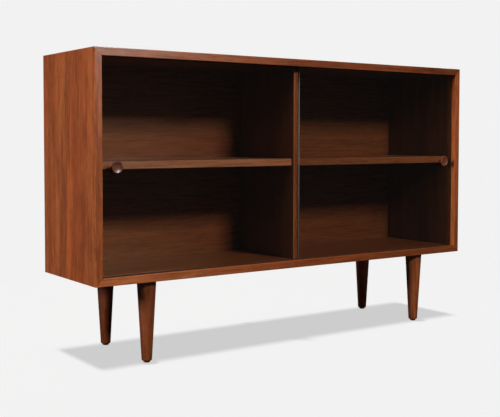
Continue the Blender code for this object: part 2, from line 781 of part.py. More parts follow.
def make_holes():
    """Cutters for the fasteners and tracks, each grown from the piece that goes in."""
    dowel = rod_profile(
        DOWEL_DIAMETER, DOWEL_IN_DIVIDER, -DOWEL_IN_BOARD, DOWEL_CHAMFER, grow=SEAT_GAP
    )
    pin = rod_profile(PIN_DIAMETER, PIN_REACH, -PIN_IN_BOARD, PIN_CHAMFER, grow=SEAT_GAP)
    screw = back_screw_profile(grow=SEAT_GAP, overrun=CUT_OVERRUN)
    insert_hole = [
        (0.0, CASE_BOTTOM + INSERT_LENGTH + SEAT_GAP),
        (INSERT_DIAMETER / 2 + SEAT_GAP, CASE_BOTTOM + INSERT_LENGTH + SEAT_GAP),
        (INSERT_DIAMETER / 2 + SEAT_GAP, CASE_BOTTOM - CUT_OVERRUN),
        (0.0, CASE_BOTTOM - CUT_OVERRUN),
    ]
    screws = back_screw_places().values()
    dowels = dowel_places().values()
    pins = [*pin_places(-1).values(), *pin_places(1).values()]
    legs = leg_places().values()
    meshes = {
        "splines": spline_mesh("spline slots", spline_places().values(), grow=SEAT_GAP),
        "back screws": turned_set("screw holes", screw, SMALL_SIDES, screws),
        "dowels": turned_set("dowel holes", dowel, SMALL_SIDES, dowels),
        "pins": turned_set("pin holes", pin, SMALL_SIDES, pins),
        "tracks": track_recess_mesh(),
        "inserts": turned_set("insert holes", insert_hole, ROUND_SIDES, legs),
    }
    return {name: cutter(mesh.name, mesh) for name, mesh in meshes.items()}


def build_bookcase():
    cabinet = stand("cabinet", (0.0, 0.0, 0.0))
    left_slide = stand("left_door", (0.0, REAR_PANE_FACE, PANE_BOTTOM), cabinet)
    right_slide = stand("right_door", (0.0, FRONT_PANE_FACE, PANE_BOTTOM), cabinet)
    holes = make_holes()
    build_case(cabinet, holes)
    build_back(cabinet, holes)
    build_divider(cabinet, holes)
    build_shelf(-1, cabinet)
    build_shelf(1, cabinet)
    build_tracks(cabinet)
    build_legs(cabinet)
    build_door(-1, REAR_PANE_FACE, left_slide)
    build_door(1, FRONT_PANE_FACE, right_slide)


clear_scene()
PIECES = new_collection("glass_door_bookcase")
CUTTERS = new_collection("cutters")
build_bookcase()
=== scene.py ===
"""Low walnut bookcase with sliding glass doors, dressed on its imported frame.

Lengths are in metres. +X runs to the right, -Y is the front with the doors, and +Z is up.
"""

import math

import bmesh
import bpy
from mathutils import Euler, Matrix, Vector


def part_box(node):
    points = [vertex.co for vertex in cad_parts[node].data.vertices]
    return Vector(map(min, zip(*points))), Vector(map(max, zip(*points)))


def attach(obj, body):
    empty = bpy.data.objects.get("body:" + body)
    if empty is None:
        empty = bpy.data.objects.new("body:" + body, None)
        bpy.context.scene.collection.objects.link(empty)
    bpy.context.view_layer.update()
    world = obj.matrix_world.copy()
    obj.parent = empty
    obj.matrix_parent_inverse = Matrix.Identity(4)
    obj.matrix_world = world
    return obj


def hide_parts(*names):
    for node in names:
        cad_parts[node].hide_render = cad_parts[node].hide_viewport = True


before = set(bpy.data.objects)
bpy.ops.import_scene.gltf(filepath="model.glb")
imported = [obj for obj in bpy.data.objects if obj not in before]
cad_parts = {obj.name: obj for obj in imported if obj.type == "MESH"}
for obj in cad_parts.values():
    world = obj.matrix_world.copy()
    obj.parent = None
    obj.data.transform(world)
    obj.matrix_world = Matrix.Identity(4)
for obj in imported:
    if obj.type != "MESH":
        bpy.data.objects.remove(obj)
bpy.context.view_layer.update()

SIDES = ("left", "right")
ENDS = ("front", "rear")

# Camera, from the perspective of the photograph
CAMERA_PLACE = (-1.52038, -2.08482, 0.55307)
CAMERA_TURN = -34.884
CAMERA_DIP = 2.629
CAMERA_ROLL = 0.068
LENS_MM = 65.68
SENSOR_MM = 36.0
VIEW_SHIFT = -0.05846

# Turned legs
LEG_TOP_DIAMETER = 0.048
LEG_FOOT_DIAMETER = 0.026
LEG_TOP_EASE = 0.001
LEG_FOOT_ROUND = 0.0045
LEG_SIDES = 96
# Painted light and shade: each leg's walnut is made lighter and darker by its own tone, the shaded
# rear right leg lightest
LEG_PAINTED_LIGHT_TONES = {"front_left": 0.58, "front_right": 0.80, "rear_left": 0.50, "rear_right": 1.45}

# Pads under the legs. The dimple's mouth and floor are shares of the pad's radius.
PAD_DIAMETER = 0.016
PAD_EASE = 0.0012
PAD_GAP = 0.0003
PAD_SIDES = 48
DIMPLE_MOUTH = 0.35
DIMPLE_FLOOR = 0.30
DIMPLE_DEPTH = 0.0006

# Knobs
KNOB_DIAMETER = 0.030
KNOB_LENGTH = 0.0112
KNOB_RIM = 0.0032
KNOB_RIM_EASE = 0.0012
KNOB_LIP = 0.0022
KNOB_DISH = 0.0022
DISH_CURVE = 2.8
DISH_STEPS = 16
KNOB_NECK_DIAMETER = 0.011
KNOB_NECK_HEIGHT = 0.0022
KNOB_BASE_DIAMETER = 0.014
KNOB_BASE_EASE = 0.0003
KNOB_SIDES = 96

# Panes
ARRIS = 0.0008
ARRIS_STEPS = 3
RIM_TOLERANCE = 0.00001
RIM_ANGLE = math.radians(60)
FLAT_FACE = 0.99
KNOB_HOLE_DIAMETER = 0.007
HOLE_SIDES = 40

# Screws in the back. The flat and the crown are shares of the head's radius.
SCREW_HEAD_DIAMETER = 0.0058
SCREW_HEAD_DEPTH = 0.0014
SCREW_HEAD_EDGE = 0.0003
SCREW_FLAT = 0.82
SCREW_CROWN = 0.95
SCREW_CROWN_DROP = 0.00003
SCREW_SHANK_DIAMETER = 0.003
SCREW_LENGTH = 0.018
SCREW_SLOT_WIDTH = 0.0008
SCREW_SLOT_SPAN = 0.0032
SCREW_SLOT_DEPTH = 0.0008
SCREW_SIDES = 32

# Rounded outlines and finished meshes
ROUND_STEPS = 8
MERGE_DISTANCE = 0.000002
SMOOTH_LIMIT = math.radians(35)

# Veneered boards
BOARD = 0.019
VENEER = 0.0006
BAND_THICKNESS = 0.0014
BAND_GLUE_LINE = 0.0002
# Painted sheen on the boards' left ends: full at the first X below, gone at the second
PAINTED_SHEEN_FROM = -0.55
PAINTED_SHEEN_TO = 0.05

# Colours of the finishes
WALNUT_LIGHT = (0.330, 0.086, 0.022, 1.0)
WALNUT_DARK = (0.160, 0.036, 0.009, 1.0)
WALNUT_PORE = (0.050, 0.014, 0.006, 1.0)
# Painted sheen: a pale, grey tint for the boards' left ends, standing in for the lamps' reflection
# there
SHEEN_PAINTED_WALNUT = (1.45, 1.90, 2.50, 1.0)
REDDER_WALNUT = (1.08, 0.94, 0.88, 1.0)
KNOB_LIGHT = (0.260, 0.078, 0.026, 1.0)
KNOB_DARK = (0.090, 0.024, 0.010, 1.0)
KNOB_PORE = (0.030, 0.010, 0.006, 1.0)
BEECH_LIGHT = (0.580, 0.390, 0.230, 1.0)
BEECH_DARK = (0.430, 0.260, 0.140, 1.0)
BEECH_PORE = (0.250, 0.130, 0.070, 1.0)
TRACK_BROWN = (0.040, 0.022, 0.014, 1.0)
PAD_BLACK = (0.012, 0.011, 0.010, 1.0)
RUBBER_BLACK = (0.020, 0.019, 0.018, 1.0)
ZINC = (0.560, 0.550, 0.520, 1.0)
BRASS_YELLOW = (0.780, 0.540, 0.220, 1.0)
BRASS_BROWNED = (0.120, 0.075, 0.035, 1.0)

# Direction of the grain, as the turn that brings it to Z
ALONG_Z = (0.0, 0.0, 0.0)
ALONG_X = (0.0, math.radians(-90), 0.0)

# Oiled wood
OIL_GLOSS = 0.42
OIL_ROUGHNESS = 0.36
EDGE_ROUGHNESS = 0.28
STRIPE_COUNT = 34.0
WOOD_RELIEF = 0.00006
BUMP_STRENGTH = 0.6

# Where the legs, the knobs and the beech pieces start in the tree, and where its heart is
LEG_START = (0.0, 9.0, 0.3)
LEG_HEART = (0.1, 0.9, 0.0)
KNOB_START = (0.0, 0.0, 10.0)
BEECH_START = (0.0, 0.0, 8.0)
SMALL_HEART = (0.3, 0.2, 0.0)

# Knob wood, which is finer than the boards'
KNOB_GLOSS = 0.70
KNOB_TONE = 0.76
KNOB_GRAIN = {"Stripe Count": 130.0, "Ring Width": 0.003, "Wander": 0.006, "Finish": 0.33}

# Patterns of the grain: repeats per metre along X, Y and Z, detail and roughness
WANDERING = ((3.5, 3.5, 1.1), 2.0, 0.5)
UNEVEN_RINGS = ((18.0, 18.0, 3.0), 3.0, 0.55)
FIBRES = ((520.0, 520.0, 15.0), 4.0, 0.65)
MOTTLE = ((70.0, 70.0, 34.0), 3.0, 0.6)
FLECKS = ((1500.0, 1500.0, 75.0), 1.0, 0.5)
CROWDED_PORES = ((60.0, 60.0, 2.5), 2.0, 0.5)
REDNESS = ((9.0, 9.0, 0.7), 2.0, 0.5)
RIBBON_LENGTHWISE = 2.4
RIBBON_FORM = (3.0, 0.55)
RIBBON_RANGE = (0.33, 0.69)
STREAK_FINENESS = 4.6
STREAK_LENGTHWISE = 9.0
STREAK_FORM = (3.0, 0.6)
STREAK_RANGE = (0.30, 0.70)
STREAK_SWING = (-0.5, 0.5)
RING_UNEVENNESS = 3.2
LATE_WOOD = (0.25, 0.92)
FIBRE_RANGE = (0.25, 0.75)
MOTTLE_RANGE = (0.30, 0.70)
PORE_RANGE = (0.60, 0.68)
CROWDED_RANGE = (0.35, 0.65)
FEWEST_PORES = 0.35
REDNESS_RANGE = (0.35, 0.65)

# How much each pattern adds to the wood's tone, roughness and height
PLAIN_TONE = 0.25
RIBBON_TONE = 0.60
STREAK_TONE = 0.40
FIBRE_TONE = 0.22
MOTTLE_TONE = 0.14
# Wear and painted highlight: how much the arrises are lightened
WEAR_AND_HIGHLIGHT_TONE = 0.35
MIDDLE_TONE = 0.5
PORE_SHARE = 0.55
PORE_ROUGHNESS = 0.20
STREAK_ROUGHNESS = 0.05
WORN_ROUGHNESS = -0.08
PORE_HEIGHT = -0.8
FIBRE_HEIGHT = 0.45
RING_HEIGHT = 0.15

# Rubbed arrises, lightened as wear and as a painted highlight, where the first range is in shares
# of their reach
WEAR_AND_HIGHLIGHT_RANGE = (-1.0, -0.1)
WEAR_AND_HIGHLIGHT_PATCHES = ((38.0, 38.0, 38.0), 4.0, 0.6)
PATCH_RANGE = (0.35, 0.62)

# Plastic, rubber and metal: metallic, relief, colour and least roughness
CLOUD = ((45.0, 45.0, 45.0), 4.0, 0.6)
FINE_STREAK_FORM = (3.0, 0.6)
CLOUD_ROUGHNESS = 0.22
FINISHES = {
    "brass": (1.0, 0.00004, BRASS_YELLOW, 0.20),
    "browned_brass": (1.0, 0.00004, BRASS_BROWNED, 0.35),
    "zinc": (1.0, 0.00005, ZINC, 0.22),
    "rubber": (0.0, 0.00005, RUBBER_BLACK, 0.60),
    "track_plastic": (0.0, 0.00005, TRACK_BROWN, 0.34),
    "pad_plastic": (0.0, 0.00006, PAD_BLACK, 0.40),
}

# Glass and its rims
GLASS_FACE = (0.985, 0.995, 0.990, 1.0)
GLASS_IOR = 1.52
GLASS_ABSORPTION = (0.10, 0.78, 0.60, 1.0)
GLASS_DENSITY = 6.0
GLASS_PASSES = (0.92, 0.93, 0.925)
GLANCING_POWER = 5.0
RIM_GREY = (0.25, 0.20, 0.16, 1.0)
# Painted shade: the dark colour at a rim's rear
RIM_PAINTED_SHADE = (0.020, 0.020, 0.016, 1.0)
RIM_STREAKS = (900.0, 40.0, 40.0)
RIM_SMOOTH = 0.12
RIM_RELIEF = 0.00003
RIM_CLEARNESS = 0.5
# Painted shade starts and ends about a rim's middle, and painted light runs from its bottom to its
# top
RIM_PAINTED_SHADE_SPAN = (-0.0005, 0.0010)
RIM_PAINTED_LIGHT = (0.55, 1.75)

# Room
PALE = (0.8880, 0.8880, 0.8880, 1.0)
ROOM_DARK = (0.030, 0.029, 0.028, 1.0)
ROOM_BLACK = (0.029, 0.028, 0.026, 1.0)
MIRRORED_SHARE = 0.05
BEHIND = (0.0, 0.3)
FLOOR_SIZE = (3.6, 2.6)
FLOOR_IN_SHADE = (0.604, 0.604, 0.604, 1.0)
FLOOR_ANSWER = (0.43, 0.43, 0.43, 1.0)
FLOOR_BOUNCE = (0.20, 0.20, 0.20, 1.0)
FLOOR_MIRRORED = (0.045, 0.045, 0.045, 1.0)

# Lamps, in the order in which they are made
LAMPS = {
    "front": {
        "kind": "AREA",
        "place": (0.50, -2.75, 2.15),
        "aim": (0.0, -0.1, 0.45),
        "energy": 87.0,
        "size": 0.68,
        "size_y": 0.46,
    },
    "side": {
        "kind": "AREA",
        "place": (-3.60, -0.45, 1.50),
        "aim": (-0.4, -0.1, 0.45),
        "energy": 120.0,
        "size": 0.5,
        "size_y": 0.7,
    },
    "other side": {
        "kind": "AREA",
        "place": (3.00, 0.90, 2.20),
        "aim": (0.3, 0.1, 0.45),
        "energy": 66.0,
        "size": 1.0,
        "size_y": 1.0,
    },
    "rear": {
        "kind": "AREA",
        "place": (0.60, 2.80, 2.90),
        "aim": (0.0, 0.1, 0.45),
        "energy": 90.0,
        "size": 1.2,
        "size_y": 0.8,
    },
    "sheen": {
        "kind": "AREA",
        "place": (0.68, -2.82, 1.30),
        "aim": (-0.5, -0.15, 0.75),
        "energy": 10.0,
        "size": 0.3,
        "size_y": 0.3,
    },
    "above": {
        "kind": "SUN",
        "place": (0.0, 0.0, 3.0),
        "aim": (0.0, 0.0, 0.0),
        "energy": 2.0,
        "angle": math.radians(4),
    },
    "shade": {
        "kind": "AREA",
        "place": (-0.85, 0.47, 22.0),
        "aim": (0.0, 0.47, 0.0),
        "energy": 3040.0,
        "size": 1.9,
        "size_y": 0.9,
    },
}

# Lamps that leave the floor out, boards that the sheen lights, and boards that shade the floor
NOT_ON_THE_FLOOR = ("front", "side", "other side", "rear", "above")
LIT_BY_SHEEN = ("top_board", "left_side", "left_shelf")
SHADES_THE_FLOOR = ("left_shelf", "right_shelf", "center_divider")

# How each board is cut from the tree, and its finish. The tones are those of the outer faces, the
# edges, the inner faces, and the lower half of the strips in front of the panes. They are painted
# light and shade, set board by board so that each face renders as bright as the light on it, with
# the inner faces darkened as painted shade and the lower strips lightened as painted light.
BOARDS = {
    "left_side": {
        "turn": ALONG_Z,
        "start": (0.0, 0.0, 0.0),
        "heart": (0.05, 0.60, 0.0),
        "tones": (1.00, 1.03, 0.30, 1.03),
        "gloss": 0.36,
        "figure": 1.12,
        "stripes": 26.0,
    },
    "right_side": {
        "turn": ALONG_Z,
        "start": (1.3, 0.1, 0.2),
        "heart": (0.05, 0.55, 0.0),
        "tones": (1.00, 1.02, 0.36, 1.42),
        "painted_light_drift": 0.20,
        "gloss": 0.50,
    },
    "center_divider": {
        "turn": ALONG_Z,
        "start": (2.2, 0.3, 0.4),
        "heart": (0.05, 0.50, 0.0),
        "tones": (0.70, 1.36, 0.38, 1.36),
        "painted_light_drift": 0.60,
        "gloss": 0.45,
        "figure": 0.8,
    },
    "top_board": {
        "turn": ALONG_X,
        "start": (3.0, 0.2, 0.3),
        "heart": (-0.06, 0.03, 0.0),
        "tones": (1.00, 0.57, 0.40, 0.57),
        "painted_light_drift": -0.55,
        "painted_sheen": 1.0,
        "rough": 0.60,
    },
    "bottom_board": {
        "turn": ALONG_X,
        "start": (4.1, 0.5, 0.1),
        "heart": (0.08, 0.05, 0.0),
        "tones": (0.62, 0.85, 0.60, 0.85),
        "painted_light_drift": -0.38,
        "gloss": 0.30,
        "figure": 0.8,
        "painted_sheen": 1.0,
    },
    "left_shelf": {
        "turn": ALONG_X,
        "start": (5.2, 0.4, 0.0),
        "heart": (0.07, 0.02, 0.0),
        "tones": (0.70, 0.85, 0.60, 0.85),
        "painted_light_drift": -0.20,
        "gloss": 1.00,
        "figure": 0.5,
        "painted_sheen": 1.0,
        "painted_sheen_to": 0.60,
    },
    "right_shelf": {
        "turn": ALONG_X,
        "start": (6.4, 0.0, 0.2),
        "heart": (0.07, -0.03, 0.0),
        "tones": (0.70, 0.82, 0.60, 0.82),
        "gloss": 0.75,
        "figure": 0.7,
    },
    "back_panel": {
        "turn": ALONG_X,
        "start": (7.0, 0.6, 0.5),
        "heart": (0.10, 0.09, 0.0),
        "tones": (0.70, 0.52, 0.52, 0.52),
        "painted_light_drift": -0.20,
        "gloss": 0.38,
        "figure": 0.55,
        "painted_sheen": 1.0,
    },
}


# Node helpers
def feed(tree, socket, value):
    """Links an output to a socket, or sets the socket's own value."""
    if isinstance(value, bpy.types.NodeSocket):
        tree.links.new(value, socket)
    else:
        socket.default_value = value


def add(tree, kind, sockets=None, **settings):
    """A new node with its settings made and its sockets fed."""
    made = tree.nodes.new(kind)
    for name, value in settings.items():
        setattr(made, name, value)
    for name, value in (sockets or {}).items():
        feed(tree, made.inputs[name], value)
    return made


def maths(tree, operation, *values, clamp=False):
    made = tree.nodes.new("ShaderNodeMath")
    made.operation = operation
    made.use_clamp = clamp
    for socket, value in zip(made.inputs, values):
        feed(tree, socket, value)
    return made.outputs[0]


def vectors(tree, operation, *values):
    made = tree.nodes.new("ShaderNodeVectorMath")
    made.operation = operation
    for socket, value in zip(made.inputs, values):
        feed(tree, socket, value)
    return made.outputs["Vector"]


def scaled(tree, colour, factor):
    made = tree.nodes.new("ShaderNodeVectorMath")
    made.operation = "SCALE"
    feed(tree, made.inputs[0], colour)
    feed(tree, made.inputs["Scale"], factor)
    return made.outputs["Vector"]


def together(tree, x, y, z):
    return add(tree, "ShaderNodeCombineXYZ", {"X": x, "Y": y, "Z": z}).outputs[0]


def apart(tree, vector):
    return add(tree, "ShaderNodeSeparateXYZ", {0: vector}).outputs


def noise(tree, vector, stretch, detail, roughness, output="Fac"):
    """Noise whose scale along each axis is given by stretch."""
    wide = vectors(tree, "MULTIPLY", vector, stretch)
    sockets = {"Vector": wide, "Scale": 1.0, "Detail": detail, "Roughness": roughness}
    return add(tree, "ShaderNodeTexNoise", sockets).outputs[output]


def spread(tree, value, low, high, to_low=0.0, to_high=1.0):
    """A value between low and high taken smoothly to another range."""
    sockets = {"Value": value, "From Min": low, "From Max": high}
    sockets.update({"To Min": to_low, "To Max": to_high})
    made = add(tree, "ShaderNodeMapRange", sockets, interpolation_type="SMOOTHSTEP")
    return made.outputs["Result"]


def blend_colours(tree, share, first, second, way="MIX"):
    made = tree.nodes.new("ShaderNodeMix")
    made.data_type = "RGBA"
    made.blend_type = way
    feed(tree, made.inputs[0], share)
    feed(tree, made.inputs[6], first)
    feed(tree, made.inputs[7], second)
    return made.outputs[2]


def new_group(name, inputs, outputs):
    """A node group. Inputs are names, kinds and usual values, and outputs names and kinds."""
    tree = bpy.data.node_groups.new(name, "ShaderNodeTree")
    for socket_name, kind, value in inputs:
        socket = tree.interface.new_socket(socket_name, in_out="INPUT", socket_type=kind)
        socket.default_value = value
    for socket_name, kind in outputs:
        tree.interface.new_socket(socket_name, in_out="OUTPUT", socket_type=kind)
    given = tree.nodes.new("NodeGroupInput").outputs
    wanted = tree.nodes.new("NodeGroupOutput").inputs
    return tree, given, wanted


FLOAT = "NodeSocketFloat"
VECTOR = "NodeSocketVector"
COLOUR = "NodeSocketColor"


# Shared effects
def make_grain_group():
    """Wood figure along Z: broad ribbons, streaks, growth rings, fibres and open pores, with
    painted light along the grain, a painted sheen, and arrises lightened as wear and as a painted
    highlight.
    """
    tree, given, wanted = new_group(
        "wood_grain",
        [
            ("Vector", VECTOR, (0.0, 0.0, 0.0)),
            ("Heart", VECTOR, (0.03, 0.40, 0.0)),
            ("Stripe Count", FLOAT, STRIPE_COUNT),
            ("Ring Width", FLOAT, 0.008),
            ("Ring Depth", FLOAT, -0.28),
            ("Wander", FLOAT, 0.016),
            ("Painted Light Drift", FLOAT, 0.0),
            ("Figure", FLOAT, 1.0),
            ("Painted Sheen", FLOAT, 0.0),
            ("Light Wood", COLOUR, WALNUT_LIGHT),
            ("Dark Wood", COLOUR, WALNUT_DARK),
            ("Pore Wood", COLOUR, WALNUT_PORE),
            ("Wear And Highlight", FLOAT, 0.0),
            ("Finish", FLOAT, OIL_ROUGHNESS),
        ],
        [("Color", COLOUR), ("Roughness", FLOAT), ("Height", FLOAT)],
    )
    slow = noise(tree, given["Vector"], *WANDERING, "Color")
    centred = vectors(tree, "SUBTRACT", slow, (0.5, 0.5, 0.5))
    reach = maths(tree, "MULTIPLY", given["Wander"], 2.0)
    moved = vectors(tree, "MULTIPLY", centred, together(tree, reach, reach, 0.0))
    lie = vectors(tree, "ADD", given["Vector"], moved)

    count = given["Stripe Count"]
    stretch = together(tree, count, count, RIBBON_LENGTHWISE)
    ribbons = spread(tree, noise(tree, lie, stretch, *RIBBON_FORM), *RIBBON_RANGE)
    finer = maths(tree, "MULTIPLY", count, STREAK_FINENESS)
    stretch = together(tree, finer, finer, STREAK_LENGTHWISE)
    streaks = noise(tree, lie, stretch, *STREAK_FORM)
    streaks = spread(tree, streaks, *STREAK_RANGE, *STREAK_SWING)

    out = vectors(tree, "SUBTRACT", lie, given["Heart"])
    out = vectors(tree, "MULTIPLY", out, (1.0, 1.0, 0.0))
    radius = add(tree, "ShaderNodeVectorMath", {0: out}, operation="LENGTH").outputs["Value"]
    turns = maths(tree, "DIVIDE", radius, given["Ring Width"])
    turns = maths(tree, "MULTIPLY_ADD", noise(tree, lie, *UNEVEN_RINGS), RING_UNEVENNESS, turns)
    phase = maths(tree, "FRACT", turns)
    late = spread(tree, phase, *LATE_WOOD)
    early = spread(tree, phase, LATE_WOOD[1], 1.0, 1.0, 0.0)
    rings = maths(tree, "MULTIPLY", late, early)

    fibres = noise(tree, lie, *FIBRES)
    mottle = noise(tree, lie, *MOTTLE)
    crowded = spread(tree, noise(tree, lie, *CROWDED_PORES), *CROWDED_RANGE, FEWEST_PORES, 1.0)
    pores = maths(tree, "MULTIPLY", spread(tree, noise(tree, lie, *FLECKS), *PORE_RANGE), crowded)

    tone = maths(tree, "MULTIPLY_ADD", ribbons, RIBBON_TONE, PLAIN_TONE)
    tone = maths(tree, "MULTIPLY_ADD", streaks, STREAK_TONE, tone)
    tone = maths(tree, "MULTIPLY_ADD", rings, given["Ring Depth"], tone)
    tone = maths(tree, "ADD", tone, spread(tree, fibres, *FIBRE_RANGE, -FIBRE_TONE, FIBRE_TONE))
    tone = maths(tree, "ADD", tone, spread(tree, mottle, *MOTTLE_RANGE, -MOTTLE_TONE, MOTTLE_TONE))
    tone = maths(tree, "SUBTRACT", tone, MIDDLE_TONE)
    tone = maths(tree, "MULTIPLY_ADD", tone, given["Figure"], MIDDLE_TONE)
    # Wear and painted highlight: the arrises are lightened
    wear_and_highlight = maths(tree, "MULTIPLY", given["Wear And Highlight"], WEAR_AND_HIGHLIGHT_TONE)
    tone = maths(tree, "ADD", tone, wear_and_highlight, clamp=True)
    colour = blend_colours(tree, tone, given["Dark Wood"], given["Light Wood"])
    redness = spread(tree, noise(tree, lie, *REDNESS), *REDNESS_RANGE)
    redder = blend_colours(tree, 1.0, colour, REDDER_WALNUT, "MULTIPLY")
    colour = blend_colours(tree, redness, colour, redder)
    filled = maths(tree, "MULTIPLY", pores, PORE_SHARE)
    colour = blend_colours(tree, filled, colour, given["Pore Wood"])
    # Painted light: the wood is made lighter and darker along its grain, standing in for how the
    # lamps fall across the board
    along = apart(tree, vectors(tree, "SUBTRACT", given["Vector"], given["Heart"]))["Z"]
    colour = scaled(tree, colour, maths(tree, "MULTIPLY_ADD", along, given["Painted Light Drift"], 1.0))
    # Painted sheen: the wood is paled and greyed towards the left end, standing in for the lamps'
    # reflection there
    colour = blend_colours(tree, given["Painted Sheen"], colour, SHEEN_PAINTED_WALNUT, "MULTIPLY")
    feed(tree, wanted["Color"], colour)

    rough = maths(tree, "MULTIPLY_ADD", pores, PORE_ROUGHNESS, given["Finish"])
    rough = maths(tree, "MULTIPLY_ADD", streaks, STREAK_ROUGHNESS, rough)
    rough = maths(tree, "MULTIPLY_ADD", given["Wear And Highlight"], WORN_ROUGHNESS, rough)
    feed(tree, wanted["Roughness"], rough)
    height = maths(tree, "MULTIPLY", fibres, FIBRE_HEIGHT)
    height = maths(tree, "MULTIPLY_ADD", pores, PORE_HEIGHT, height)
    feed(tree, wanted["Height"], maths(tree, "MULTIPLY_ADD", rings, RING_HEIGHT, height))
    return tree


def past_box(tree, given):
    """How far a place lies past the sides of a box along each axis, negative inside it."""
    away = vectors(tree, "ABSOLUTE", vectors(tree, "SUBTRACT", given["Vector"], given["Middle"]))
    return apart(tree, vectors(tree, "SUBTRACT", away, given["Half Size"]))


def make_wear_and_highlight_group():
    """Rubbed-arris mask: 1 where two faces meet, broken up along their edge. It lightens the
    arrises as wear and as a painted highlight, and smooths them as wear.
    """
    tree, given, wanted = new_group(
        "rubbed_and_highlit_edges",
        [
            ("Vector", VECTOR, (0.0, 0.0, 0.0)),
            ("Middle", VECTOR, (0.0, 0.0, 0.0)),
            ("Half Size", VECTOR, (0.1, 0.1, 0.1)),
            ("Reach", FLOAT, 0.0025),
        ],
        [("Wear And Highlight", FLOAT)],
    )
    parts = past_box(tree, given)
    pairs = [
        maths(tree, "MINIMUM", parts["X"], parts["Y"]),
        maths(tree, "MINIMUM", parts["Y"], parts["Z"]),
        maths(tree, "MINIMUM", parts["X"], parts["Z"]),
    ]
    nearest = maths(tree, "MAXIMUM", pairs[0], maths(tree, "MAXIMUM", pairs[1], pairs[2]))
    wear_and_highlight = spread(tree, maths(tree, "DIVIDE", nearest, given["Reach"]), *WEAR_AND_HIGHLIGHT_RANGE)
    patches = spread(tree, noise(tree, given["Vector"], *WEAR_AND_HIGHLIGHT_PATCHES), *PATCH_RANGE)
    feed(tree, wanted["Wear And Highlight"], maths(tree, "MULTIPLY", wear_and_highlight, patches))
    return tree


def make_surface_group():
    """Fine uneven surface of plastic, rubber or metal: streaks along X, specks and dust."""
    tree, given, wanted = new_group(
        "fine_surface",
        [
            ("Vector", VECTOR, (0.0, 0.0, 0.0)),
            ("Colour", COLOUR, TRACK_BROWN),
            ("Streaks", VECTOR, (6.0, 900.0, 900.0)),
            ("Contrast", FLOAT, 0.25),
            ("Smooth", FLOAT, 0.35),
        ],
        [("Color", COLOUR), ("Roughness", FLOAT), ("Height", FLOAT)],
    )
    streaks = noise(tree, given["Vector"], given["Streaks"], *FINE_STREAK_FORM)
    cloud = noise(tree, given["Vector"], *CLOUD)
    shade = maths(tree, "ADD", streaks, cloud)
    shade = maths(tree, "MULTIPLY_ADD", shade, given["Contrast"], 1.0)
    shade = maths(tree, "SUBTRACT", shade, given["Contrast"])
    feed(tree, wanted["Color"], scaled(tree, given["Colour"], shade))
    rough = maths(tree, "MULTIPLY_ADD", cloud, CLOUD_ROUGHNESS, given["Smooth"])
    feed(tree, wanted["Roughness"], rough)
    feed(tree, wanted["Height"], streaks)
    return tree


def make_inside_group():
    """1 on the inner faces of the case's boards and on all that stands between them."""
    tree, given, wanted = new_group(
        "inside_the_case",
        [
            ("Vector", VECTOR, (0.0, 0.0, 0.0)),
            ("Middle", VECTOR, (0.0, 0.0, 0.0)),
            ("Half Size", VECTOR, (0.1, 0.1, 0.1)),
        ],
        [("Inside", FLOAT)],
    )
    parts = past_box(tree, given)
    furthest = maths(tree, "MAXIMUM", parts["X"], maths(tree, "MAXIMUM", parts["Y"], parts["Z"]))
    feed(tree, wanted["Inside"], maths(tree, "LESS_THAN", furthest, 0.0))
    return tree


GRAIN = make_grain_group()
WEAR_AND_HIGHLIGHT = make_wear_and_highlight_group()
INSIDE = make_inside_group()
SURFACE = make_surface_group()


# Materials
def new_material(name):
    material = bpy.data.materials.new(name)
    material.use_nodes = True
    tree = material.node_tree
    return material, tree, tree.nodes["Principled BSDF"]


def place_on_piece(tree):
    return add(tree, "ShaderNodeTexCoord").outputs["Object"]


def use_group(tree, group, sockets):
    """A shared effect with a material's own values."""
    made = add(tree, "ShaderNodeGroup", node_tree=group)
    for name, value in sockets.items():
        feed(tree, made.inputs[name], value)
    return made


def finish_surface(tree, shader, surface, relief):
    """Leads a group's colour, roughness and height to the shader."""
    feed(tree, shader.inputs["Base Color"], surface["Color"])
    feed(tree, shader.inputs["Roughness"], surface["Roughness"])
    bump = add(tree, "ShaderNodeBump", {"Height": surface["Height"], "Distance": relief})
    bump.inputs["Strength"].default_value = BUMP_STRENGTH
    feed(tree, shader.inputs["Normal"], bump.outputs["Normal"])


def toned(colour, factor):
    return (*(part * factor for part in colour[:3]), 1.0)


def wood_looks(factor, light=WALNUT_LIGHT, dark=WALNUT_DARK, pore=WALNUT_PORE):
    return {
        "Light Wood": toned(light, factor),
        "Dark Wood": toned(dark, factor),
        "Pore Wood": toned(pore, factor),
    }


def start_wood(name, turn, start, heart, looks, gloss):
    """Oiled wood, its grain node and the place on the piece.

    turn brings the grain to Z, start is where in the tree the piece is cut, and heart is where
    the tree's middle lies, seen from there.
    """
    material, tree, shader = new_material(name)
    place = place_on_piece(tree)
    sockets = {"Vector": place, "Location": start, "Rotation": turn}
    lie = add(tree, "ShaderNodeMapping", sockets).outputs["Vector"]
    sockets = {"Vector": lie, "Heart": Vector(start) + Vector(heart), **looks}
    grain = use_group(tree, GRAIN, sockets)
    finish_surface(tree, shader, grain.outputs, WOOD_RELIEF)
    shader.inputs["Specular IOR Level"].default_value = gloss
    return material, grain, place


def wood_material(name, turn, start, heart, looks, gloss=OIL_GLOSS):
    return start_wood(name, turn, start, heart, looks, gloss)[0]


def case_room():
    """Corners of the space inside the case, and of the thin veneer round it."""
    skin = Vector((VENEER, VENEER, VENEER))
    left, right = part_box("left_side"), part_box("right_side")
    floor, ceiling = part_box("bottom_board"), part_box("top_board")
    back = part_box("back_panel")
    low = Vector((left[0].x + BOARD, left[0].y - VENEER, floor[0].z + BOARD))
    high = Vector((right[1].x - BOARD, back[0].y, ceiling[1].z - BOARD))
    return low - skin, high + skin


def box_sockets(place, low, high):
    return {"Vector": place, "Middle": (low + high) / 2, "Half Size": (high - low) / 2}


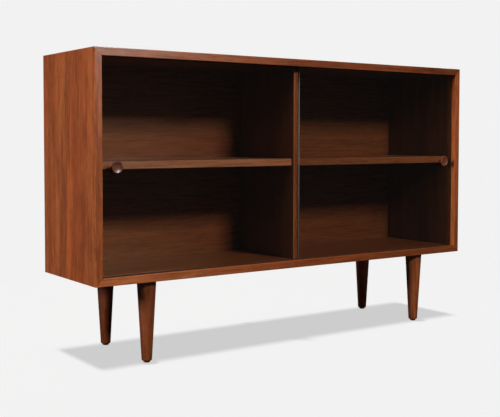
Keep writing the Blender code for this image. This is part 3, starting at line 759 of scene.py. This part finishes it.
def board_material(
    node,
    turn,
    start,
    heart,
    tones,
    painted_light_drift=0.0,
    gloss=OIL_GLOSS,
    figure=1.0,
    stripes=STRIPE_COUNT,
    rough=OIL_ROUGHNESS,
    painted_sheen=0.0,
    painted_sheen_to=PAINTED_SHEEN_TO,
):
    """Oiled veneer with a band on the front edge and arrises lightened by rubbing and as a painted
    highlight, darker inside the case as painted shade.

    drift is painted light: it makes the wood lighter and darker along its grain, standing in for
    how the lamps fall across the board. figure is the contrast of its pattern, and stripes is how
    many the pattern has per metre. fade is a painted sheen: how far the wood is paled and greyed
    at the left end, standing in for the lamps' reflection there, and painted_sheen_to is the X
    where that begins.
    """
    low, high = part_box(node)
    middle = (low + high) / 2
    turned = Euler(turn).to_matrix() @ middle
    looks = {"Painted Light Drift": painted_light_drift, "Figure": figure, "Stripe Count": stripes}
    material, grain, place = start_wood(
        f"walnut_{node}", turn, Vector(start) - turned, turned + Vector(heart), looks, gloss
    )
    tree = material.node_tree
    parts = apart(tree, place)
    inside = use_group(tree, INSIDE, box_sockets(place, *case_room())).outputs["Inside"]
    # Painted sheen, strongest at the left end of the board
    feed(tree, grain.inputs["Painted Sheen"], spread(tree, parts["X"], PAINTED_SHEEN_FROM, painted_sheen_to, painted_sheen, 0.0))

    glued = low.y + BAND_THICKNESS
    banded = spread(tree, parts["Y"], glued, glued + BAND_GLUE_LINE, 1.0, 0.0)
    before_panes = maths(tree, "LESS_THAN", parts["Y"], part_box("glass_door_right")[0].y)
    bare = maths(tree, "MULTIPLY", inside, before_panes)
    banded = maths(tree, "MAXIMUM", banded, bare)
    # Painted light: the lower half of the strips in front of the panes takes its own tone, lighter
    # where the lamps reach it
    lower = maths(tree, "MULTIPLY", bare, spread(tree, parts["Z"], middle.z, high.z, 1.0, 0.0))
    outer, edges, inner, painted_light_reveals = (wood_looks(tone) for tone in tones)
    # Painted shade: the inner faces take their darker tone inside the case
    for look, colour in outer.items():
        faces = blend_colours(tree, inside, colour, inner[look])
        edge = blend_colours(tree, lower, edges[look], painted_light_reveals[look])
        feed(tree, grain.inputs[look], blend_colours(tree, banded, faces, edge))
    feed(tree, grain.inputs["Finish"], spread(tree, banded, 0.0, 1.0, rough, EDGE_ROUGHNESS))
    # Arris mask for wear and a painted highlight
    rubbed_and_highlit = use_group(tree, WEAR_AND_HIGHLIGHT, box_sockets(place, low, high)).outputs["Wear And Highlight"]
    feed(tree, grain.inputs["Wear And Highlight"], rubbed_and_highlit)
    return material


def plain_material(name):
    """Plastic, rubber or metal with a fine uneven surface."""
    metallic, relief, colour, smooth = FINISHES[name]
    material, tree, shader = new_material(name)
    looks = {"Vector": place_on_piece(tree), "Colour": colour, "Smooth": smooth}
    finish_surface(tree, shader, use_group(tree, SURFACE, looks).outputs, relief)
    shader.inputs["Metallic"].default_value = metallic
    return material


def glass_material():
    """Clear float glass, green in its depth. Lamps and the light inside pass straight through."""
    material, tree, shader = new_material("clear_glass")
    shader.inputs["Base Color"].default_value = GLASS_FACE
    shader.inputs["Roughness"].default_value = 0.0
    shader.inputs["IOR"].default_value = GLASS_IOR
    shader.inputs["Transmission Weight"].default_value = 1.0
    slant = add(tree, "ShaderNodeLayerWeight", {"Blend": 0.5}).outputs["Facing"]
    passed = maths(tree, "SUBTRACT", 1.0, maths(tree, "POWER", slant, GLANCING_POWER))
    passed = vectors(tree, "MULTIPLY", GLASS_PASSES, passed)
    through = add(tree, "ShaderNodeBsdfTransparent", {"Color": passed}).outputs[0]
    lamp = add(tree, "ShaderNodeLightPath").outputs["Is Shadow Ray"]
    both = add(tree, "ShaderNodeMixShader", {0: lamp, 1: shader.outputs[0], 2: through})
    leave = tree.nodes["Material Output"]
    feed(tree, leave.inputs["Surface"], both.outputs[0])
    depth = {"Color": GLASS_ABSORPTION, "Density": GLASS_DENSITY}
    feed(tree, leave.inputs["Volume"], add(tree, "ShaderNodeVolumeAbsorption", depth).outputs[0])
    return material


def rim_material(side):
    """A pane's polished rims: less clear than its faces, with painted shade darkening the rear and
    painted light brightening the top.
    """
    material, tree, shader = new_material(f"glass_rim_{side}")
    place = place_on_piece(tree)
    low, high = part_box(f"glass_door_{side}")
    middle = (low.y + high.y) / 2
    parts = apart(tree, place)
    # Painted shade towards the rim's rear, and painted light towards its top
    rear = spread(tree, parts["Y"], *(middle + step for step in RIM_PAINTED_SHADE_SPAN))
    colour = blend_colours(tree, rear, RIM_GREY, RIM_PAINTED_SHADE)
    colour = scaled(tree, colour, spread(tree, parts["Z"], low.z, high.z, *RIM_PAINTED_LIGHT))
    looks = {"Vector": place, "Colour": colour, "Streaks": RIM_STREAKS, "Smooth": RIM_SMOOTH}
    finish_surface(tree, shader, use_group(tree, SURFACE, looks).outputs, RIM_RELIEF)
    shader.inputs["Transmission Weight"].default_value = RIM_CLEARNESS
    shader.inputs["IOR"].default_value = GLASS_IOR
    return material


def dress(node, material):
    """Gives a CAD node its finish."""
    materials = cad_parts[node].data.materials
    materials.clear()
    materials.append(material)


# Shapes
def finish_piece(bm, name, material):
    """A new piece from a finished shape, at the origin, smooth but for its sharp edges."""
    bmesh.ops.remove_doubles(bm, verts=bm.verts, dist=MERGE_DISTANCE)
    bmesh.ops.recalc_face_normals(bm, faces=bm.faces)
    mesh = bpy.data.meshes.new(name)
    bm.to_mesh(mesh)
    bm.free()
    mesh.shade_smooth()
    mesh.set_sharp_from_angle(angle=SMOOTH_LIMIT)
    mesh.materials.append(material)
    piece = bpy.data.objects.new(name, mesh)
    bpy.context.scene.collection.objects.link(piece)
    return piece


def spun(profile, sides, matrix):
    """A bmesh turned from a profile of radius and height."""
    bm = bmesh.new()
    points = [bm.verts.new((radius, 0.0, height)) for radius, height in profile]
    edges = [bm.edges.new(pair) for pair in zip(points, points[1:])]
    bmesh.ops.spin(
        bm,
        geom=points + edges,
        axis=(0.0, 0.0, 1.0),
        cent=(0.0, 0.0, 0.0),
        angle=math.tau,
        steps=sides,
        use_merge=True,
    )
    bmesh.ops.transform(bm, matrix=matrix, verts=bm.verts)
    return bm


def quarter(middle, radius, start, end):
    """Points of an arc, from its start to its end angle in degrees."""
    points = []
    for step in range(ROUND_STEPS + 1):
        angle = math.radians(start + (end - start) * step / ROUND_STEPS)
        x, z = middle[0] + radius * math.cos(angle), middle[1] + radius * math.sin(angle)
        points.append((x, z))
    return points


def middle_of(node):
    low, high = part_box(node)
    return (low + high) / 2


def stands_for(piece, body, slot, *nodes):
    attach(piece, body)
    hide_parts(*nodes)


# Legs
def make_leg(name, material):
    low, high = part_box(f"leg_{name}")
    axis = middle_of(f"leg_{name}")
    top = LEG_TOP_DIAMETER / 2
    foot = LEG_FOOT_DIAMETER / 2
    profile = [(0.0, high.z)]
    profile += quarter((top - LEG_TOP_EASE, high.z - LEG_TOP_EASE), LEG_TOP_EASE, 90, 0)
    profile += quarter((foot - LEG_FOOT_ROUND, low.z + LEG_FOOT_ROUND), LEG_FOOT_ROUND, 0, -90)
    profile.append((0.0, low.z))
    bm = spun(profile, LEG_SIDES, Matrix.Translation((axis.x, axis.y, 0.0)))
    leg = finish_piece(bm, f"turned_leg_{name}", material)
    stands_for(leg, "cabinet", "walnut", f"leg_{name}")


def make_pad(name, material):
    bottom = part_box(f"glide_{name}")[0].z
    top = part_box(f"leg_{name}")[0].z - PAD_GAP
    axis = middle_of(f"glide_{name}")
    radius = PAD_DIAMETER / 2
    dimple = bottom + DIMPLE_DEPTH
    profile = [(0.0, top)]
    profile += quarter((radius - PAD_EASE, top - PAD_EASE), PAD_EASE, 90, 0)
    profile += quarter((radius - PAD_EASE, bottom + PAD_EASE), PAD_EASE, 0, -90)
    profile += [(radius * DIMPLE_MOUTH, bottom), (radius * DIMPLE_FLOOR, dimple), (0.0, dimple)]
    bm = spun(profile, PAD_SIDES, Matrix.Translation((axis.x, axis.y, 0.0)))
    pad = finish_piece(bm, f"foot_pad_{name}", material)
    stands_for(pad, "cabinet", "glide_plastic", f"glide_{name}")


# Doors
def make_knob(name, body, material):
    """A turned knob with a dished face, standing out of its pane towards -Y."""
    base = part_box(f"knob_{name}")[1].y
    axis = middle_of(f"knob_{name}")
    rim = KNOB_DIAMETER / 2
    dish = rim - KNOB_LIP
    neck = KNOB_NECK_DIAMETER / 2
    foot = KNOB_BASE_DIAMETER / 2
    cove_top = KNOB_LENGTH - KNOB_RIM
    profile = []
    for step in range(DISH_STEPS + 1):
        reach = step / DISH_STEPS
        profile.append((dish * reach, KNOB_LENGTH - KNOB_DISH * (1 - reach ** DISH_CURVE)))
    profile += quarter((rim - KNOB_RIM_EASE, KNOB_LENGTH - KNOB_RIM_EASE), KNOB_RIM_EASE, 90, 0)
    under = KNOB_RIM_EASE / 2
    profile += quarter((rim - under, cove_top + under), under, 0, -90)
    for step in range(ROUND_STEPS + 1):
        angle = math.radians(90) * step / ROUND_STEPS
        radius = rim - KNOB_RIM_EASE - (rim - KNOB_RIM_EASE - neck) * math.sin(angle)
        profile.append((radius, cove_top - (cove_top - KNOB_NECK_HEIGHT) * (1 - math.cos(angle))))
    profile += [(foot, KNOB_BASE_EASE), (foot - KNOB_BASE_EASE, 0.0), (0.0, 0.0)]
    place = Matrix.Translation((axis.x, base, axis.z)) @ Matrix.Rotation(math.radians(90), 4, "X")
    knob = finish_piece(spun(profile, KNOB_SIDES, place), f"turned_knob_{name}", material)
    stands_for(knob, body, "dark_walnut", f"knob_{name}")


def on_outline(point, low, high):
    gaps = (point.x - low.x, point.x - high.x, point.z - low.z, point.z - high.z)
    return min(abs(gap) for gap in gaps) < RIM_TOLERANCE


def make_pane(name, body, material, rim_finish):
    """A pane with a round knob hole and polished arrises."""
    low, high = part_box(f"glass_door_{name}")
    hole = middle_of(f"knob_{name}")
    bm = bmesh.new()
    corners = [(low.x, low.z), (high.x, low.z), (high.x, high.z), (low.x, high.z)]
    corners = [bm.verts.new((x, low.y, z)) for x, z in corners]
    for i in range(4):
        bm.edges.new((corners[i - 1], corners[i]))
    place = Matrix.Translation((hole.x, low.y, hole.z)) @ Matrix.Rotation(math.radians(90), 4, "X")
    radius = KNOB_HOLE_DIAMETER / 2
    bmesh.ops.create_circle(bm, segments=HOLE_SIDES, radius=radius, matrix=place)
    bmesh.ops.triangle_fill(bm, use_beauty=True, edges=bm.edges[:])
    drawn = bmesh.ops.extrude_face_region(bm, geom=bm.faces[:])["geom"]
    moved = [item for item in drawn if isinstance(item, bmesh.types.BMVert)]
    bmesh.ops.translate(bm, vec=(0.0, high.y - low.y, 0.0), verts=moved)
    bmesh.ops.recalc_face_normals(bm, faces=bm.faces)
    rim = [
        edge
        for edge in bm.edges
        if all(on_outline(end.co, low, high) for end in edge.verts)
        and edge.calc_face_angle(0.0) > RIM_ANGLE
    ]
    bmesh.ops.bevel(
        bm,
        geom=rim,
        offset=ARRIS,
        offset_type="OFFSET",
        segments=ARRIS_STEPS,
        profile=0.5,
        affect="EDGES",
        material=-1,
    )
    pane = finish_piece(bm, f"pane_{name}", material)
    pane.data.shade_flat()
    pane.data.materials.append(rim_finish)
    for face in pane.data.polygons:
        face.material_index = int(abs(face.normal.y) < FLAT_FACE)
    stands_for(pane, body, "clear_glass", f"glass_door_{name}")


# Back
def make_screw(node, material):
    """A countersunk screw with a cross recess, its head to the rear."""
    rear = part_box(node)[1].y
    axis = middle_of(node)
    head = SCREW_HEAD_DIAMETER / 2
    shank = SCREW_SHANK_DIAMETER / 2
    profile = [
        (head * SCREW_FLAT, 0.0),
        (head * SCREW_CROWN, -SCREW_CROWN_DROP),
        (head, -SCREW_HEAD_EDGE),
        (shank, -SCREW_HEAD_DEPTH),
        (shank, -SCREW_LENGTH + shank),
        (0.0, -SCREW_LENGTH),
    ]
    bm = spun(profile, SCREW_SIDES, Matrix.Identity(4))
    bmesh.ops.remove_doubles(bm, verts=bm.verts, dist=MERGE_DISTANCE)
    border = [edge for edge in bm.edges if edge.is_boundary]
    half = SCREW_SLOT_SPAN / 2
    slim = SCREW_SLOT_WIDTH / 2
    cross = []
    for turn in range(4):
        spin = Matrix.Rotation(math.radians(90) * turn, 4, "Z")
        for x, y in ((slim, -slim), (half, -slim), (half, slim)):
            cross.append(bm.verts.new(spin @ Vector((x, y, 0.0))))
    recess = [bm.edges.new((cross[i - 1], cross[i])) for i in range(len(cross))]
    bmesh.ops.triangle_fill(bm, use_beauty=True, edges=border + recess)
    floor_of_cross = bm.faces.new(cross)
    sunk = bmesh.ops.extrude_discrete_faces(bm, faces=[floor_of_cross])["faces"][0]
    bmesh.ops.translate(bm, vec=(0.0, 0.0, -SCREW_SLOT_DEPTH), verts=sunk.verts)
    lower = sorted(sunk.edges, key=lambda edge: edge.index)
    bmesh.ops.bridge_loops(bm, edges=recess + lower)
    place = Matrix.Translation((axis.x, rear, axis.z)) @ Matrix.Rotation(math.radians(-90), 4, "X")
    bmesh.ops.transform(bm, matrix=place, verts=bm.verts)
    screw = finish_piece(bm, f"cross_{node}", material)
    stands_for(screw, "cabinet", "steel", node)


# Room
def add_camera():
    camera = bpy.data.cameras.new("camera")
    camera.lens = LENS_MM
    camera.sensor_width = SENSOR_MM
    camera.shift_y = VIEW_SHIFT
    holder = bpy.data.objects.new("camera", camera)
    turn = Matrix.Rotation(math.radians(CAMERA_TURN), 4, "Z")
    dip = Matrix.Rotation(math.radians(90 - CAMERA_DIP), 4, "X")
    roll = Matrix.Rotation(math.radians(CAMERA_ROLL), 4, "Z")
    holder.matrix_world = Matrix.Translation(CAMERA_PLACE) @ turn @ dip @ roll
    bpy.context.scene.collection.objects.link(holder)
    bpy.context.scene.camera = holder


def seen_through(tree, rays):
    """1 for what the camera sees through glass, 0 for light that was scattered or mirrored."""
    turned = maths(tree, "ADD", rays["Diffuse Depth"], rays["Glossy Depth"])
    straight = maths(tree, "LESS_THAN", turned, 0.5)
    return maths(tree, "MULTIPLY", rays["Is Transmission Ray"], straight)


def floor_material():
    """Pale to the camera and through glass, and dimmer in what it mirrors and throws back."""
    material = bpy.data.materials.new("floor")
    material.use_nodes = True
    tree = material.node_tree
    tree.nodes.remove(tree.nodes["Principled BSDF"])
    shade = add(tree, "ShaderNodeEmission", {"Color": FLOOR_IN_SHADE}).outputs[0]
    answer = add(tree, "ShaderNodeBsdfDiffuse", {"Color": FLOOR_ANSWER}).outputs[0]
    seen = add(tree, "ShaderNodeAddShader", {0: shade, 1: answer}).outputs[0]
    rays = add(tree, "ShaderNodeLightPath").outputs
    unseen = blend_colours(tree, rays["Is Glossy Ray"], FLOOR_BOUNCE, FLOOR_MIRRORED)
    bounce = add(tree, "ShaderNodeBsdfDiffuse", {"Color": unseen}).outputs[0]
    looked = maths(tree, "MAXIMUM", rays["Is Camera Ray"], seen_through(tree, rays))
    both = add(tree, "ShaderNodeMixShader", {0: looked, 1: bounce, 2: seen}).outputs[0]
    feed(tree, tree.nodes["Material Output"].inputs["Surface"], both)
    return material


def add_floor():
    bm = bmesh.new()
    bmesh.ops.create_grid(bm, x_segments=1, y_segments=1, size=0.5)
    bmesh.ops.scale(bm, vec=(*FLOOR_SIZE, 1.0), verts=bm.verts)
    mesh = bpy.data.meshes.new("floor")
    bm.to_mesh(mesh)
    bm.free()
    mesh.materials.append(floor_material())
    floor = bpy.data.objects.new("floor", mesh)
    bpy.context.scene.collection.objects.link(floor)
    return floor


def add_world():
    """Pale behind the bookcase and dim in front of it, as in a studio."""
    world = bpy.data.worlds.new("room")
    world.use_nodes = True
    tree = world.node_tree
    rays = add(tree, "ShaderNodeLightPath").outputs
    direction = add(tree, "ShaderNodeTexCoord").outputs["Generated"]
    behind = spread(tree, apart(tree, direction)["Y"], *BEHIND)
    mirrored = maths(tree, "MULTIPLY", rays["Is Glossy Ray"], MIRRORED_SHARE)
    looked = maths(tree, "MAXIMUM", mirrored, seen_through(tree, rays))
    looked = maths(tree, "MULTIPLY", looked, behind)
    looked = maths(tree, "MAXIMUM", looked, rays["Is Camera Ray"])
    dim = blend_colours(tree, rays["Is Glossy Ray"], ROOM_DARK, ROOM_BLACK)
    colour = blend_colours(tree, looked, dim, PALE)
    feed(tree, tree.nodes["Background"].inputs["Color"], colour)
    bpy.context.scene.world = world


def add_lamp(name, kind, place, aim, energy, **settings):
    """A lamp aimed at a point. An area lamp is a rectangle."""
    lamp = bpy.data.lights.new(name, kind)
    lamp.energy = energy
    for key, value in settings.items():
        setattr(lamp, key, value)
    if kind == "AREA":
        lamp.shape = "RECTANGLE"
    holder = bpy.data.objects.new(name, lamp)
    holder.location = place
    holder.rotation_euler = (Vector(aim) - Vector(place)).to_track_quat("-Z", "Y").to_euler()
    holder.visible_transmission = False
    bpy.context.scene.collection.objects.link(holder)
    return holder


def linked(name, pieces, state="INCLUDE"):
    """A collection of the pieces that a lamp lights, leaves out or is shaded by."""
    pool = bpy.data.collections.new(name)
    for piece in pieces:
        pool.objects.link(piece)
    for member in pool.collection_objects:
        member.light_linking.link_state = state
    return pool


def add_lamps(floor):
    """The lamps on the bookcase leave the floor out. The shade lamp lights the floor alone."""
    lamps = {name: add_lamp(name, **how) for name, how in LAMPS.items()}
    for name in NOT_ON_THE_FLOOR:
        unlit = [floor]
        if name == "front":
            unlit += [bpy.data.objects[f"pane_{side}"] for side in SIDES]
        pool = linked(f"not lit by {name}", unlit, "EXCLUDE")
        lamps[name].light_linking.receiver_collection = pool
    lit = linked("lit by sheen", [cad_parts[name] for name in LIT_BY_SHEEN])
    lamps["sheen"].light_linking.receiver_collection = lit
    lamps["shade"].light_linking.receiver_collection = linked("lit by shade", [floor])
    shading = [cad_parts[name] for name in SHADES_THE_FLOOR]
    shading += [bpy.data.objects[f"turned_leg_{end}_{side}"] for end in ENDS for side in SIDES]
    lamps["shade"].light_linking.blocker_collection = linked("shade the floor", shading)


# Dressing
def dress_boards():
    for node, how in BOARDS.items():
        dress(node, board_material(node, **how))


def dress_fasteners():
    looks = wood_looks(1.0, BEECH_LIGHT, BEECH_DARK, BEECH_PORE)
    beech = wood_material("beech", ALONG_X, BEECH_START, SMALL_HEART, looks)
    brass, browned, zinc, rubber = (
        plain_material(name) for name in ("brass", "browned_brass", "zinc", "rubber")
    )
    finishes = {
        "mitre_spline": beech,
        "divider_dowel": beech,
        "shelf_pin": browned,
        "leg_insert": brass,
        "hanger_bolt": zinc,
        "knob_screw": zinc,
        "knob_grommet": rubber,
    }
    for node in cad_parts:
        for start, material in finishes.items():
            if node.startswith(start):
                dress(node, material)
    for node in sorted(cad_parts):
        if node.startswith("back_screw"):
            make_screw(node, zinc)


def dress_tracks():
    track = plain_material("track_plastic")
    dress("upper_track", track)
    dress("lower_track", track)


def dress_legs():
    pad = plain_material("pad_plastic")
    # Each leg's walnut takes its painted light and shade tone
    for name, tone in LEG_PAINTED_LIGHT_TONES.items():
        looks = wood_looks(tone)
        make_leg(name, wood_material(f"walnut_leg_{name}", ALONG_Z, LEG_START, LEG_HEART, looks))
        make_pad(name, pad)


def dress_doors():
    glass = glass_material()
    looks = {**wood_looks(KNOB_TONE, KNOB_LIGHT, KNOB_DARK, KNOB_PORE), **KNOB_GRAIN}
    wood = wood_material("walnut_knobs", ALONG_X, KNOB_START, SMALL_HEART, looks, KNOB_GLOSS)
    for side in SIDES:
        make_pane(side, f"{side}_door", glass, rim_material(side))
        make_knob(side, f"{side}_door", wood)


dress_boards()
dress_fasteners()
dress_tracks()
dress_legs()
dress_doors()
add_camera()
add_world()
add_lamps(add_floor())
bpy.context.scene.view_settings.view_transform = "Standard"
